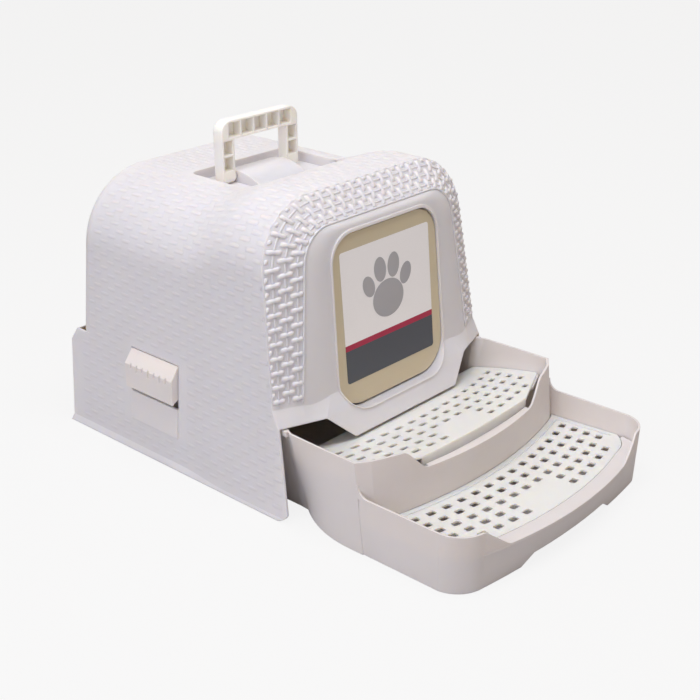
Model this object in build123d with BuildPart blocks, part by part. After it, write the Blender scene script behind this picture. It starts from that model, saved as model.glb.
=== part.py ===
from build123d import *
from math import atan, cos, degrees, radians, sin, sqrt, tan
import os

# A litter box in millimetres: a hood with a swing door stands over a drawer
# that holds the litter and ends in two steps in front of the door. +Z is up,
# the door faces -Y and the origin lies on the floor under the hood's middle.

os.makedirs("parts", exist_ok=True)

# ---- hood
wall = 2.6  # thickness of the hood's moulding
hood_half = 212.0  # half width of the hood's front at the floor
body_half = 210.5  # half width of the hood behind its collar, at the floor
side_lean = 0.070  # how far the sides lean in, per mm of height
collar_y = -213.9  # where the collar's leaning front edge would meet the floor
collar_lean = 7.65  # degrees that it leans back
panel_y = -228.7  # where the leaning front panel would meet the floor
panel_lean = 4.8
rear_y = 205.8  # where the leaning rear would meet the floor
rear_lean = 0.054  # how far the rear leans in, per mm of height
rear_round = 30.0  # rounding of the rear's edges
body_top = 370.0
body_corner = 105.0
collar_top = 391.0
collar_corner = 88.0
saddle_y0 = -112.0  # the collar starts to fall to the body here
saddle_y1 = -22.0  # and has reached it here
panel_half = 119.0  # flat middle of the front panel, at the floor
panel_taper = 0.02
panel_top = 348.0
panel_corner = 42.0
crease_half = 181.7  # crease between the front panel and the bevel, at the floor
crease_taper = 0.124
crease_top = 357.0
crease_corner = 45.0
crease_setback = 5.9
band_foot = 145.0  # height at which the bevel ends and the front flares out
band_run = 7.0  # height of the step from the bevel to the flare
cheek_y = -227.9  # front edges of the side walls, at the floor
cheek_rake = 0.183
skirt_y = 211.0  # rear skirt
skirt_top = 125.0
skirt_slope = 19.0
flare = 3.0  # foot of the hood
flare_height = 9.0
foot_round = 21.0

# ---- lower edge of the hood's front
brow_z = 122.0
brow_half = 139.5
brow_y = -228.2
brow_side_y = -218.7
brow_round = 6.0
tongue_z = 87.6
tongue_half = 101.8
tongue_y = -243.3
tongue_side_y = -226.0
tongue_round = 8.0

# ---- door
door_setback = 1.5
door_thick = 3.0
door_gap = 1.2
door_head_gap = 3.6
opening_half = 107.9  # half width of the doorway, at the floor
opening_taper = 0.02
opening_foot = 112.0
opening_top = 342.2
opening_top_round = 37.0
opening_foot_round = 45.5
door_top_round = 37.5
frame_width = 2.5
frame_proud = 2.0
frame_depth = 5.0
door_axis_z = 331.0
door_axis_setback = 6.2
door_pin = 5.0
door_barrel = 6.6
door_barrel_start = 66.0
door_barrel_end = 83.0
door_boss = 11.0
door_pin_end = 97.0
running_gap = 0.075  # radial, round a pin
pin_play = 0.5  # past a pin's end
past = 1.0  # how far a cut starts outside what it cuts
seam = 0.3  # how far one block of the hood ends inside the next
card_half = 86.0
card_foot = 145.0
card_top = 318.0
card_thick = 0.4
card_round = 4.0

# ---- carry handle and its well in the hood's top
well_half = 88.0
well_y0 = -60.0
well_y1 = 68.0
well_depth = 14.0
well_round = 12.0
pad_half = 44.0
pad_y0 = -20.0
pad_y1 = 48.0
pad_crown = 0.5  # height of the pad's crest above the body's top
pad_drop = 2.0  # of its rear edge below that top
pad_step = 4.0  # height of its front edge above the well's floor
pad_crest_share = 0.4
handle_half = 70.0
handle_leg = 21.0
handle_depth = 17.0
handle_top = 442.0
handle_bar = 25.0
handle_round = 15.0
handle_skin = 2.5
handle_axis_y = 29.0
handle_lift = 0.7  # between the folded handle and the well's floor
handle_pin = 6.0
handle_lug = 12.0
handle_gap = 0.5  # between its lugs and the pad
handle_pin_end = 36.0

# ---- latches
latch_y = 29.5
latch_long = 95.0
latch_gap = 0.6
latch_foot = 97.0
latch_shoulder = 131.0
latch_face = 213.5
latch_skin = 2.5
latch_axis_x = 196.5
latch_axis_z = 144.0
latch_barrel = 7.0
latch_pin = 4.0
latch_pin_long = 3.2
latch_head = 149.2
latch_land = 3.4
latch_end_foot = 8.0
window_foot = 88.0
window_top = 150.6
window_reach = 30.0
cheek_thick = 4.0
cheek_reach = 4.0  # inwards, past the latch's axis
catch_tip = 191.5
catch_thick = 5.0
catch_gap = 0.5  # between the catch and the drawer's rim
web_x = 198.2
web_thick = 2.4
web_neck = 4.0  # below the latch's axis
panel_foot = 46.0
panel_proud = 1.5

# ---- drawer
tray_wall = 2.8
floor_thick = 3.0
rim_z = 120.0
step_rim_z = 77.0
tray_half = 200.0
riser_foot = -372.0  # middle of the riser's curved front
riser_rim = -378.0
riser_end_half = 183.0
riser_end_foot = -350.0
riser_end_rim = -340.0
tray_corner_foot = -341.0
tray_corner_rim = -328.0
shoulder_y = -311.0
waist_y = -262.0
waist_foot_half = 190.5
waist_half = 199.6
mouth_y = -220.0  # the drawer narrows behind this
mouth_foot_half = 168.0
mouth_half = 198.0
mouth_run = 14.0
narrow_half = 191.0  # half width of the tray inside the hood, at its rim
narrow_foot_half = 167.0
tray_rear = 190.0
tray_round = 35.0
tray_draft = 10.0  # of the rear wall
rim_half = 197.5  # outer edge of the rim inside the hood
rim_drop = 7.0
lip_z = 91.0
lip_half = 111.0
lip_shoulder_half = 139.0
lip_round = 14.0
lip_width = 11.0
riser_radius = 440.0
skirt_radius = 720.0
step_foot = -502.0  # middle of the lower step's curved front
step_rim = -522.0
step_end_foot = (161.0, -490.0)
step_end_rim = (162.0, -493.0)
step_corner_foot = (186.0, -479.0)
step_corner_rim = (189.0, -481.0)
step_side_y = -455.0
step_draft = 1.5
step_back = -335.0
rim_fillet = 15.0  # where the upper step's rim falls to the lower step's
step_lip_z = 48.0
step_lip_half = 125.0
step_shoulder_half = 162.0
step_lip_round = 16.0
drawer_clear = 540.0  # distance to a plane in front of the whole drawer
riser_clear = 400.0  # distance to a plane between the riser and the lower step's front
dip_over = 20.0
riser_dip_depth = 70.0
step_dip_depth = 85.0
notch_half = 95.0  # finger notch in the drawer's front foot
notch_top_half = 75.0
notch_z = 13.0
notch_back = -478.0
partition_y = -217.0
partition_thick = 3.0

# ---- step grids
grid_thick = 3.0
grid_gap = 0.5
ledge_width = 6.0
ledge_thick = 3.0
upper_y = -220.0
upper_z = 79.6
upper_fall = 0.167  # the upper grid rises this much per mm towards the front
upper_front = -361.0
upper_bend = 108.0
upper_bend_y = -356.0
upper_corner_y = -315.0
upper_corner = 4.0
upper_rear = -213.0
upper_rear_draw = 3.0
upper_pitch = 24.4
upper_row_pitch = 18.6
upper_first_row = -270.7
upper_slot = (13.0, 7.0)
lower_y = -338.5
lower_z = 39.6
lower_fall = 0.048
lower_front = -493.0
lower_bend = 150.0
lower_bend_y = -473.0
lower_corner = 16.0
lower_corner_y = -462.0
lower_side_y = -445.0
lower_rear_corner = 6.0
lip_front = -514.0  # middle of the broad lip in front of the lower grid
lip_end = (162.0, -492.0)
lip_corner = (188.0, -479.0)
lip_side = (198.0, -445.0)
lip_trim = 110.0  # length cleared behind the lip's ends
lower_pitch = 25.0
lower_row_pitch = 19.3
lower_first_row = -397.5
lower_slot = (12.5, 9.0)
slot_round = 2.2
row_radius = 620.0
rows = 5
columns = 7  # slots either side of the middle one
blank_rows = 2
blank_columns = 1

collar_length = 1 / cos(radians(collar_lean))  # along the collar's front edge, per mm of height
panel_length = 1 / cos(radians(panel_lean))  # along the front panel, per mm of height


def leaning_plane(y, lean):
    """Plane across the hood that leans back from a line on the floor."""
    tilt = radians(lean)
    return Plane(origin=(0, y, 0), x_dir=(1, 0, 0), z_dir=(0, -cos(tilt), sin(tilt)))


def panel_at(z, setback=0.0):
    """Y of the leaning front panel at a height."""
    return panel_y + setback + z * tan(radians(panel_lean))


def arch(half, top, corner, lean, foot):
    """Outline with sides that lean in, a flat top and round corners."""
    with BuildSketch(mode=Mode.PRIVATE) as outline:
        with BuildLine():
            Polyline(
                (-half + lean * foot, foot),
                (-half + lean * top, top),
                (half - lean * top, top),
                (half - lean * foot, foot),
                close=True,
            )
        make_face()
        fillet(outline.vertices().group_by(Axis.Y)[-1], corner)
    return outline.sketch


def gate(spread, top_spread, foot_radius, top_radius):
    """Outline of the doorway, wider by spread and higher by top_spread."""
    foot = (opening_foot - spread) * panel_length
    top = (opening_top + top_spread) * panel_length
    foot_half = opening_half + spread - opening_taper * opening_foot
    top_half = opening_half + spread - opening_taper * opening_top
    with BuildSketch(mode=Mode.PRIVATE) as outline:
        with BuildLine():
            Polyline((-foot_half, foot), (-top_half, top), (top_half, top), (foot_half, foot), close=True)
        make_face()
        fillet(outline.vertices().group_by(Axis.Y)[-1], top_radius)
        fillet(outline.vertices().group_by(Axis.Y)[0], foot_radius)
    return outline.sketch


def smooth(share):
    """Ease from 0 to 1."""
    return share * share * (3 - 2 * share)


def hood_volume(inset, foot):
    """The hood as one solid block, drawn in by inset on every side."""
    with BuildPart() as block:
        # the front panel curves back to the crease
        for share in (0, 1 / 3, 2 / 3, 1):
            half = panel_half + (crease_half - panel_half) * share - inset
            top = panel_top + (crease_top - panel_top) * share - inset
            corner = panel_corner + (crease_corner - panel_corner) * share - inset
            taper = panel_taper + (crease_taper - panel_taper) * share
            with BuildSketch(leaning_plane(panel_y + crease_setback * share**2 + inset, panel_lean)):
                add(arch(half, top * panel_length, corner, taper, foot))
        loft()
        # the bevel that carries the woven band
        top = (crease_top - inset) * panel_length
        crease = arch(crease_half - inset, top, crease_corner - inset, crease_taper, foot)
        top = (collar_top - inset) * collar_length
        collar = arch(hood_half - inset, top, collar_corner - inset, side_lean, foot)
        with BuildSketch(leaning_plane(panel_y + crease_setback + inset, panel_lean)):
            add(crease)
        with BuildSketch(leaning_plane(collar_y + inset, collar_lean)):
            add(collar)
        loft(ruled=True)
        # the collar, as far as the saddle
        with BuildSketch(leaning_plane(collar_y + inset, collar_lean)):
            add(collar)
        with BuildSketch(Plane.XZ.offset(-saddle_y0)):
            add(arch(hood_half - inset, collar_top - inset, collar_corner - inset, side_lean, foot))
        loft(ruled=True)
        # the saddle
        for share in (0, 0.25, 0.5, 0.75, 1):
            ease = smooth(share)
            half = hood_half + (body_half - hood_half) * ease - inset
            top = collar_top + (body_top - collar_top) * ease - inset
            corner = collar_corner + (body_corner - collar_corner) * ease - inset
            with BuildSketch(Plane.XZ.offset(-saddle_y0 - (saddle_y1 - saddle_y0) * share)):
                add(arch(half, top, corner, side_lean, foot))
        loft()
        # the body, up to the leaning rear
        with BuildSketch(Plane.XZ.offset(-saddle_y1)):
            add(arch(body_half - inset, body_top - inset, body_corner - inset, side_lean, foot))
        extrude(amount=-(rear_y - saddle_y1 + 1))
        rear = Plane(origin=(0, rear_y - inset, 0), x_dir=(1, 0, 0), z_dir=(0, 1, rear_lean))
        split(bisect_by=rear, keep=Keep.BOTTOM)
        rear_face = block.faces().sort_by(Axis.Y)[-1]
        fillet(rear_face.edges().filter_by(lambda e: e.center().Z > 1), rear_round - inset)
        # the rear skirt
        skirt_end = skirt_top + skirt_slope
        for z, y in ((foot, skirt_y), (skirt_top, skirt_y), (skirt_end, rear_y - rear_lean * skirt_end)):
            half = body_half - side_lean * z - inset
            with BuildSketch(Plane.XY.offset(z)):
                with Locations((0, (y - inset + saddle_y1) / 2)):
                    Rectangle(2 * half, y - inset - saddle_y1)
        loft(ruled=True)
        # below the bevel the front flares out to its lower edge
        flare_start = band_foot + band_run
        levels = (
            (foot, brow_half, tongue_y, tongue_side_y, cheek_y),
            (tongue_z, brow_half, tongue_y, tongue_side_y, cheek_y + cheek_rake * tongue_z),
            (brow_z, brow_half, brow_y, brow_side_y, cheek_y + cheek_rake * brow_z),
            (
                band_foot,
                panel_half,
                panel_at(band_foot, seam),
                panel_at(band_foot, crease_setback + seam),
                collar_y + band_foot * tan(radians(collar_lean)) + seam,
            ),
            (
                flare_start,
                panel_half,
                panel_at(flare_start, 3 * seam),
                panel_at(flare_start, crease_setback + 3 * seam),
                collar_y + flare_start * tan(radians(collar_lean)) + 3 * seam,
            ),
        )
        for z, middle_half, middle_y, crease_y, side_y in levels:
            half = hood_half - side_lean * z - inset
            crease_x = crease_half - crease_taper * z - inset
            with BuildSketch(Plane.XY.offset(z)):
                with BuildLine():
                    Polyline(
                        (-half, side_y + inset),
                        (-crease_x, crease_y + inset),
                        (-middle_half, middle_y + inset),
                        (middle_half, middle_y + inset),
                        (crease_x, crease_y + inset),
                        (half, side_y + inset),
                        (half, saddle_y0),
                        (-half, saddle_y0),
                        close=True,
                    )
                make_face()
        loft(ruled=True)
        # the flared foot
        for z, spread in ((foot, flare), (flare_height, 0.0)):
            half = body_half - side_lean * z + spread - inset
            y0 = cheek_y + inset
            y1 = skirt_y + spread - inset
            with BuildSketch(Plane.XY.offset(z)):
                with Locations((0, (y0 + y1) / 2)):
                    Rectangle(2 * half, y1 - y0)
        loft(ruled=True)
    return block.part


hood_outside = hood_volume(0.0, 0.0)
hood_inside = hood_volume(wall, -past)


def side_plane(turn):
    """Plane on the hood's right (1) or left (-1) side wall: its x runs to the rear, its y up the wall."""
    return Plane(origin=(turn * body_half, 0, 0), x_dir=(0, 1, 0), z_dir=(1, 0, turn * side_lean))


# ---- hood shell: one moulding, open below
well_floor = body_top - well_depth
pad_top = body_top + pad_crown
pad_crest = pad_y0 + (pad_y1 - pad_y0) * pad_crest_share
handle_axis_z = well_floor + handle_lift + handle_depth / 2
door_axis_y = panel_at(door_axis_z, door_axis_setback)
latch_y0 = latch_y - latch_long / 2
latch_y1 = latch_y + latch_long / 2
frame_front = panel_y - tongue_y + frame_proud  # far enough in front of the panel to pass the flare

# ridge round the doorway, which follows the front's surface, and the jamb behind it
with BuildPart() as door_frame:
    with BuildSketch(leaning_plane(panel_y + frame_depth, panel_lean)):
        add(
            gate(
                frame_width,
                frame_width,
                opening_foot_round + frame_width,
                opening_top_round + frame_width,
            )
        )
    extrude(amount=frame_depth + frame_front)
    add(hood_volume(-frame_proud, 0.0), mode=Mode.INTERSECT)

with BuildPart() as hood_shell:
    add(hood_outside)
    add(hood_inside, mode=Mode.SUBTRACT)
    # doorway with its hinge bosses
    add(door_frame.part)
    with BuildSketch(Plane.YZ.offset(-door_pin_end - 2)):
        with Locations((door_axis_y, door_axis_z)):
            Circle(door_boss / 2)
    extrude(amount=2 * (door_pin_end + 2))
    with BuildSketch(leaning_plane(panel_y - frame_front, panel_lean)):
        add(gate(0, 0, opening_foot_round, opening_top_round))
    extrude(amount=-(frame_front + 2 * door_boss), mode=Mode.SUBTRACT)
    with BuildSketch(Plane.YZ.offset(-door_pin_end - pin_play)):
        with Locations((door_axis_y, door_axis_z)):
            Circle(door_pin / 2 + running_gap)
    extrude(amount=2 * (door_pin_end + pin_play), mode=Mode.SUBTRACT)
    # the front is open below its brow, where the drawer passes
    with BuildSketch(Plane.XZ.offset(-tongue_y + past)) as passage:
        with BuildLine():
            Polyline(
                (-hood_half + wall, -past),
                (-hood_half + wall + side_lean * brow_z, brow_z),
                (-brow_half, brow_z),
                (-tongue_half, tongue_z),
                (tongue_half, tongue_z),
                (brow_half, brow_z),
                (hood_half - wall - side_lean * brow_z, brow_z),
                (hood_half - wall, -past),
                close=True,
            )
        make_face()
        fillet(passage.vertices().filter_by(lambda v: abs(v.X) < tongue_half + 1), tongue_round)
        fillet(passage.vertices().filter_by(lambda v: abs(abs(v.X) - brow_half) < 1), brow_round)
    extrude(amount=-(saddle_y0 - tongue_y) / 2, mode=Mode.SUBTRACT)
    # round lower front corners of the side walls
    with BuildSketch(Plane.YZ.offset(-hood_half - 2 * flare)):
        with BuildLine():
            Polyline(
                (cheek_y + foot_round, 0),
                (cheek_y + foot_round, -past),
                (cheek_y - past, -past),
                (cheek_y - past, foot_round),
                (cheek_y, foot_round),
            )
            RadiusArc((cheek_y, foot_round), (cheek_y + foot_round, 0), -foot_round)
        make_face()
    extrude(amount=2 * hood_half + 4 * flare, mode=Mode.SUBTRACT)
    # the well in the top that takes the folded handle, with the pad in its middle
    with BuildSketch(Plane.XY.offset(well_floor - wall)):
        with Locations((0, (well_y0 + well_y1) / 2)):
            RectangleRounded(2 * (well_half + wall), well_y1 - well_y0 + 2 * wall, well_round + wall)
    extrude(amount=well_depth)
    with BuildSketch(Plane.XY.offset(well_floor)):
        with Locations((0, (well_y0 + well_y1) / 2)):
            RectangleRounded(2 * well_half, well_y1 - well_y0, well_round)
    extrude(amount=3 * well_depth, mode=Mode.SUBTRACT)
    with BuildSketch(Plane.YZ.offset(-pad_half)):
        with BuildLine():
            Polyline(
                (pad_y1, body_top - pad_drop),
                (pad_y1, well_floor - wall),
                (pad_y0, well_floor - wall),
                (pad_y0, well_floor + pad_step),
            )
            ThreePointArc(
                (pad_y0, well_floor + pad_step),
                (pad_crest, pad_top),
                (pad_y1, body_top - pad_drop),
            )
        make_face()
    extrude(amount=2 * pad_half)
    with BuildSketch(Plane.YZ.offset(-pad_half + wall)):
        with BuildLine():
            Polyline(
                (pad_y1 - wall, body_top - pad_drop - wall),
                (pad_y1 - wall, well_floor - 2 * wall),
                (pad_y0 + wall, well_floor - 2 * wall),
                (pad_y0 + wall, well_floor + pad_step),
            )
            ThreePointArc(
                (pad_y0 + wall, well_floor + pad_step),
                (pad_crest, pad_top - wall),
                (pad_y1 - wall, body_top - pad_drop - wall),
            )
        make_face()
    extrude(amount=2 * (pad_half - wall), mode=Mode.SUBTRACT)
    # bearings for the handle's pins in the pad's ends
    for end in (-1, 1):
        with BuildSketch(Plane.YZ.offset(end * pad_half)):
            with Locations((handle_axis_y, handle_axis_z)):
                Circle(handle_pin / 2 + wall)
        extrude(amount=-end * (pad_half - handle_pin_end))
        with BuildSketch(Plane.YZ.offset(end * (pad_half + 1))):
            with Locations((handle_axis_y, handle_axis_z)):
                Circle(handle_pin / 2 + running_gap)
        extrude(amount=-end * (pad_half + 1.5 - handle_pin_end), mode=Mode.SUBTRACT)
    # latch windows with their bearing cheeks, and the plain panels below them
    cheek_x = body_half - side_lean * latch_axis_z - wall / 2
    for turn in (1, -1):
        for y0 in (latch_y0 - latch_gap - cheek_thick, latch_y1 + latch_gap):
            with BuildSketch(Plane.XZ.offset(-y0)):
                with BuildLine():
                    Polyline(
                        (turn * (latch_axis_x - cheek_reach), latch_axis_z - latch_barrel),
                        (turn * cheek_x, latch_axis_z - latch_barrel),
                        (turn * cheek_x, latch_axis_z + latch_barrel),
                        (turn * (latch_axis_x - cheek_reach), latch_axis_z + latch_barrel / 2),
                        close=True,
                    )
                make_face()
            extrude(amount=-cheek_thick)
        with BuildSketch(side_plane(turn)):
            with Locations((latch_y, (panel_foot + window_foot) / 2)):
                Rectangle(latch_long, window_foot - panel_foot)
        extrude(amount=turn * panel_proud)
        with BuildSketch(Plane.YZ.offset(turn * (latch_axis_x - latch_barrel))):
            with Locations((latch_y, (window_foot + window_top) / 2)):
                Rectangle(latch_long + 2 * latch_gap, window_top - window_foot)
        extrude(amount=turn * window_reach, mode=Mode.SUBTRACT)
        with BuildSketch(Plane.XZ.offset(-latch_y0 + latch_gap + latch_pin_long + pin_play)):
            with Locations((turn * latch_axis_x, latch_axis_z)):
                Circle(latch_pin / 2 + running_gap)
        extrude(amount=-(latch_long + 2 * latch_gap + 2 * latch_pin_long + 2 * pin_play), mode=Mode.SUBTRACT)
hood_shell.part.label = "hood_shell"

# ---- door: a flap with stub pins at its top corners, and a card on its face
with BuildPart() as door_flap:
    with BuildSketch(leaning_plane(panel_y + door_setback, panel_lean)):
        add(gate(-door_gap, -door_head_gap, opening_foot_round - door_gap, door_top_round))
    extrude(amount=-door_thick)
    pin_start = door_barrel_end - door_pin / 2
    for end in (-1, 1):
        with BuildSketch(Plane.YZ.offset(end * door_barrel_start)):
            with Locations((door_axis_y, door_axis_z)):
                Circle(door_barrel / 2)
        extrude(amount=end * (door_barrel_end - door_barrel_start))
        with BuildSketch(Plane.YZ.offset(end * pin_start)):
            with Locations((door_axis_y, door_axis_z)):
                Circle(door_pin / 2)
        extrude(amount=end * (door_pin_end - pin_start))
door_flap.part.label = "door_flap"

with BuildPart() as door_card:
    with BuildSketch(leaning_plane(panel_y + door_setback, panel_lean)):
        with Locations((0, (card_foot + card_top) / 2 * panel_length)):
            RectangleRounded(2 * card_half, (card_top - card_foot) * panel_length, card_round)
    extrude(amount=card_thick)
door_card.part.label = "door_card"

# ---- carry handle: a channel bent to a U, its pockets open to the front
leg_middle = handle_half - handle_leg / 2
handle_y0 = handle_axis_y - handle_depth / 2
with BuildPart() as carry_handle:
    with BuildSketch(Plane.XZ.offset(-handle_y0)) as handle_face:
        with BuildLine():
            Polyline(
                (-handle_half, handle_axis_z),
                (-handle_half, handle_top),
                (handle_half, handle_top),
                (handle_half, handle_axis_z),
                (handle_half - handle_leg, handle_axis_z),
                (handle_half - handle_leg, handle_top - handle_bar),
                (-handle_half + handle_leg, handle_top - handle_bar),
                (-handle_half + handle_leg, handle_axis_z),
                close=True,
            )
        make_face()
        fillet(handle_face.vertices().group_by(Axis.Y)[-1], handle_round)
    extrude(amount=-handle_depth)
    for end in (-1, 1):
        with BuildSketch(Plane.YZ.offset(end * handle_half)):
            with Locations((handle_axis_y, handle_axis_z)):
                Circle(handle_depth / 2)
        extrude(amount=-end * handle_leg)
        with BuildSketch(Plane.YZ.offset(end * (handle_half - handle_leg))):
            with Locations((handle_axis_y, handle_axis_z)):
                Circle(handle_lug / 2)
        extrude(amount=-end * (handle_half - handle_leg - pad_half - handle_gap))
        with BuildSketch(Plane.YZ.offset(end * (handle_half - handle_leg))):
            with Locations((handle_axis_y, handle_axis_z)):
                Circle(handle_pin / 2)
        extrude(amount=-end * (handle_half - handle_leg - handle_pin_end))
    bar_pockets = 5
    pocket_pitch = 2 * (handle_half - handle_leg / 2) / bar_pockets
    with BuildSketch(Plane.XZ.offset(-handle_y0)):
        with Locations((0, handle_top - handle_bar / 2)):
            with GridLocations(pocket_pitch, 0, bar_pockets, 1):
                Rectangle(pocket_pitch - handle_skin, handle_bar - 2 * handle_skin)
        leg_pockets = 2
        leg_run = handle_top - handle_bar - handle_axis_z - handle_depth / 2
        leg_pitch = leg_run / leg_pockets
        for end in (-1, 1):
            with Locations((end * leg_middle, handle_axis_z + handle_depth / 2 + leg_run / 2)):
                with GridLocations(0, leg_pitch, 1, leg_pockets):
                    Rectangle(handle_leg - 2 * handle_skin, leg_pitch - handle_skin)
    extrude(amount=-(handle_depth - handle_skin), mode=Mode.SUBTRACT)
carry_handle.part.label = "carry_handle"

# ---- latches: levers with a grip face, a catch under the drawer's rim and two stub pins
catch_top = rim_z - rim_drop - catch_gap
for side in ("right", "left"):
    with BuildPart() as latch:
        with BuildSketch(Plane.XZ.offset(-latch_y0)):
            with BuildLine():
                Polyline(
                    (latch_axis_x, latch_head),
                    (latch_axis_x + latch_land, latch_head),
                    (latch_face, latch_shoulder),
                    (latch_face, latch_foot),
                    (latch_face - latch_skin, latch_foot),
                    (latch_face - latch_skin, latch_shoulder - 1),
                    (web_x + web_thick, latch_axis_z - web_neck),
                    (web_x + web_thick, catch_top - catch_thick),
                    (catch_tip + 1.5, catch_top - catch_thick),
                    (catch_tip, catch_top - 2),
                    (catch_tip, catch_top),
                    (web_x, catch_top),
                    (web_x, latch_axis_z - web_neck),
                    (latch_axis_x, latch_axis_z - 3),
                    close=True,
                )
            make_face()
            with Locations((latch_axis_x, latch_axis_z)):
                Circle(latch_barrel / 2)
        extrude(amount=-latch_long)
        # closed ends behind the grip face
        for y0 in (latch_y0, latch_y1 - latch_skin):
            with BuildSketch(Plane.XZ.offset(-y0)):
                with BuildLine():
                    Polyline(
                        (web_x, latch_foot + latch_end_foot),
                        (web_x, latch_axis_z),
                        (latch_face - latch_skin, latch_shoulder),
                        (latch_face - 0.5, latch_foot + 0.5),
                        close=True,
                    )
                make_face()
            extrude(amount=-latch_skin)
        with BuildSketch(Plane.XZ.offset(-latch_y0 + latch_gap + latch_pin_long)):
            with Locations((latch_axis_x, latch_axis_z)):
                Circle(latch_pin / 2)
        extrude(amount=-(latch_long + 2 * latch_gap + 2 * latch_pin_long))
        # grip slots along the shoulder, long and short in turn
        for index in range(7):
            depth = 7.0 if index % 2 else 4.5
            with Locations((latch_face, latch_y + (index - 3) * latch_long / 8, latch_shoulder - 1)):
                Box(3, 3, 2 * depth, mode=Mode.SUBTRACT)
        if side == "left":
            mirror(about=Plane.YZ, mode=Mode.REPLACE)
    latch.part.label = "latch_" + side
    export_step(latch.part, "parts/latch_" + side + ".step")


# ---- drawer: a litter tray and two steps in one moulding
def tray_outline(level, inset=0.0):
    """Outline of the drawer's deep part; level 0 is its foot, 1 its rim."""

    def between(foot, rim):
        return foot + (rim - foot) * level

    front = between(riser_foot, riser_rim) + inset
    front_end = (riser_end_half - inset / 2, between(riser_end_foot, riser_end_rim) + inset)
    corner = (tray_half - inset, between(tray_corner_foot, tray_corner_rim) + inset)
    shoulder = (tray_half - inset, shoulder_y)
    waist = (between(waist_foot_half, waist_half) - inset, waist_y)
    mouth = (between(mouth_foot_half, mouth_half) - inset, mouth_y)
    narrow = (between(narrow_foot_half, narrow_half) - inset, mouth_y + mouth_run)
    rear = between(tray_rear - tray_draft, tray_rear) - inset
    radius = tray_round - inset
    side_end = (narrow[0], rear - radius)
    rear_end = (narrow[0] - radius, rear)
    round_middle = (rear_end[0] + radius * sqrt(0.5), side_end[1] + radius * sqrt(0.5))
    right = (corner, shoulder, waist, mouth, narrow, side_end, round_middle, rear_end)
    left = [(-x, y) for x, y in right]
    with BuildSketch(mode=Mode.PRIVATE) as outline:
        with BuildLine():
            ThreePointArc((-front_end[0], front_end[1]), (0, front), front_end)
            for points in (right, left):
                end = front_end if points is right else (-front_end[0], front_end[1])
                Line(end, points[0])
                Line(points[0], points[1])
                ThreePointArc(points[1], points[2], points[3])
                Line(points[3], points[4])
                Line(points[4], points[5])
                ThreePointArc(points[5], points[6], points[7])
            Line(right[7], left[7])
        make_face()
    return outline.sketch


def step_outline(level, inset=0.0):
    """Outline of the lower step's box; level 0 is its foot, 1 its rim."""

    def between(foot, rim):
        return foot + (rim - foot) * level

    front = between(step_foot, step_rim) + inset
    end_x = between(step_end_foot[0], step_end_rim[0]) - 0.3 * inset
    end_y = between(step_end_foot[1], step_end_rim[1]) + inset
    corner_x = between(step_corner_foot[0], step_corner_rim[0]) - 0.7 * inset
    corner_y = between(step_corner_foot[1], step_corner_rim[1]) + 0.7 * inset
    side_x = between(tray_half - step_draft, tray_half) - inset
    with BuildSketch(mode=Mode.PRIVATE) as outline:
        with BuildLine():
            ThreePointArc((-end_x, end_y), (0, front), (end_x, end_y))
            for turn in (1, -1):
                ThreePointArc(
                    (turn * end_x, end_y),
                    (turn * corner_x, corner_y),
                    (turn * side_x, step_side_y),
                )
                Line((turn * side_x, step_side_y), (turn * side_x, step_back))
            Line((side_x, step_back), (-side_x, step_back))
        make_face()
    return outline.sketch


def grid_plane(y, z, fall, depth=0.0):
    """Plane of a step grid's top, or depth below it; its y runs to the rear."""
    top = Plane(origin=(0, y, z), x_dir=(1, 0, 0), z_dir=(0, fall, 1))
    return top.offset(-depth)


def along(y, origin, fall):
    """Length along a grid for a place in the drawer."""
    return (y - origin) * sqrt(1 + fall**2)


def slots(origin, fall, first_row, row_pitch, pitch, size):
    """Rows of slots on a grid, bent like the steps, with a bare place at the front."""
    with BuildSketch(mode=Mode.PRIVATE) as pattern:
        for row in range(rows):
            for column in range(-columns, columns + 1):
                if row >= rows - blank_rows and abs(column) <= blank_columns:
                    continue
                if row == rows - 1 and abs(column) == columns:
                    continue
                x = column * pitch
                y = first_row - row * row_pitch + x**2 / (2 * row_radius)
                turned = degrees(atan(x / row_radius))
                with Locations(Location((x, along(y, origin, fall), 0), (0, 0, turned))):
                    RectangleRounded(*size, slot_round)
    return pattern.sketch


def upper_grid_outline(level, inset):
    """Outline of the upper grid, drawn in by inset, on the grid's own plane."""
    gap = tray_wall + grid_gap + inset

    def at(x, y):
        return (x, along(y, upper_y, upper_fall))

    half = tray_half - gap
    waist_x = waist_foot_half + (waist_half - waist_foot_half) * level - gap
    mouth_x = mouth_foot_half + (mouth_half - mouth_foot_half) * level - gap
    bend_y = upper_bend_y + inset
    corner_y = upper_corner_y + inset
    rear_x = mouth_x - upper_rear_draw
    rear = upper_rear - inset
    with BuildSketch(mode=Mode.PRIVATE) as outline:
        with BuildLine():
            ThreePointArc(at(-upper_bend, bend_y), at(0, upper_front + inset), at(upper_bend, bend_y))
            for turn in (1, -1):
                Polyline(
                    at(turn * upper_bend, bend_y),
                    at(turn * (half - upper_corner), corner_y),
                    at(turn * half, corner_y + upper_corner),
                )
                ThreePointArc(
                    at(turn * half, corner_y + upper_corner),
                    at(turn * waist_x, waist_y),
                    at(turn * mouth_x, mouth_y),
                )
                Line(at(turn * mouth_x, mouth_y), at(turn * rear_x, rear))
            Line(at(rear_x, rear), at(-rear_x, rear))
        make_face()
    return outline.sketch


def upper_skirt():
    """Plan of the wall below the upper grid's front edge."""
    with BuildSketch(mode=Mode.PRIVATE) as plan:
        with BuildLine():
            for step in (0.0, grid_thick):
                ThreePointArc(
                    (-upper_bend, upper_bend_y + step),
                    (0, upper_front + step),
                    (upper_bend, upper_bend_y + step),
                )
            for turn in (1, -1):
                Line((turn * upper_bend, upper_bend_y), (turn * upper_bend, upper_bend_y + grid_thick))
        make_face()
    return plan.sketch


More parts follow.
